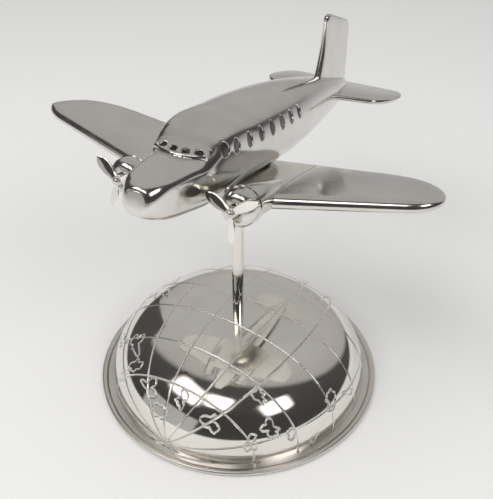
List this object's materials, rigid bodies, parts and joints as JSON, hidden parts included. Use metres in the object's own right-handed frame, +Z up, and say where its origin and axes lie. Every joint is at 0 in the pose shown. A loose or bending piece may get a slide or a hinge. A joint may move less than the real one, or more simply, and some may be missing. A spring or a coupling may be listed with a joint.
{
  "type": "desktop airliner model",
  "caption": "Polished metal twin-propeller airliner model climbing on a slim post above a domed base engraved with globe lines; the propellers spin.",
  "frame": {"origin": "centre of the felt under the base, on the post's axis", "axes": "+Z up the post, +Y towards the aircraft's tail, -Y towards its nose, +X towards the port wing; the aircraft's own axis is pitched 14.7 degrees nose-up"},
  "size_m": [0.2578, 0.3019, 0.2261],
  "materials": {
    "felt": "woven",
    "steel": "satin",
    "board": "matte",
    "iron": "matte",
    "base_nickel": "polished",
    "post_nickel": "polished",
    "aircraft_nickel": "polished",
    "block_aluminium": "satin",
    "engine_nickel": "polished",
    "propeller_nickel": "polished",
    "dark_inserts": "gloss"
  },
  "bodies": {
    "stand_and_airframe": {"felt_pad": "felt", "base_screws": "steel", "bottom_plate": "board", "ballast_disc": "iron", "foot_ring": "base_nickel", "dome_shell": "base_nickel", "rod_nut": "steel", "rod_washer": "steel", "tie_rod": "steel", "post_tube": "post_nickel", "post_socket": "post_nickel", "wing_centre_section": "aircraft_nickel", "port_wing": "aircraft_nickel", "starboard_wing": "aircraft_nickel", "wing_screws": "steel", "mounting_block": "block_aluminium", "fuselage": "aircraft_nickel", "windscreen_frame": "aircraft_nickel", "windscreen_panes": "dark_inserts", "port_cabin_windows": "dark_inserts", "starboard_cabin_windows": "dark_inserts", "port_nacelle": "aircraft_nickel", "starboard_nacelle": "aircraft_nickel", "port_cowl": "aircraft_nickel", "starboard_cowl": "aircraft_nickel", "port_engine": "engine_nickel", "starboard_engine": "engine_nickel", "port_propeller_pin": "engine_nickel", "starboard_propeller_pin": "engine_nickel", "port_tailplane": "aircraft_nickel", "starboard_tailplane": "aircraft_nickel", "fin": "aircraft_nickel"},
    "port_propeller_body": {"port_propeller": "propeller_nickel"},
    "starboard_propeller_body": {"starboard_propeller": "propeller_nickel"}
  },
  "joints": [
    {"name": "port_propeller_spin", "type": "hinge", "parent": "stand_and_airframe", "child": "port_propeller_body", "pos_m": [0.0348, -0.0744, 0.19435], "axis": [0, -0.9673, 0.2538], "continuous": true},
    {"name": "starboard_propeller_spin", "type": "hinge", "parent": "stand_and_airframe", "child": "starboard_propeller_body", "pos_m": [-0.0348, -0.0744, 0.19435], "axis": [0, -0.9673, 0.2538], "continuous": true}
  ]
}
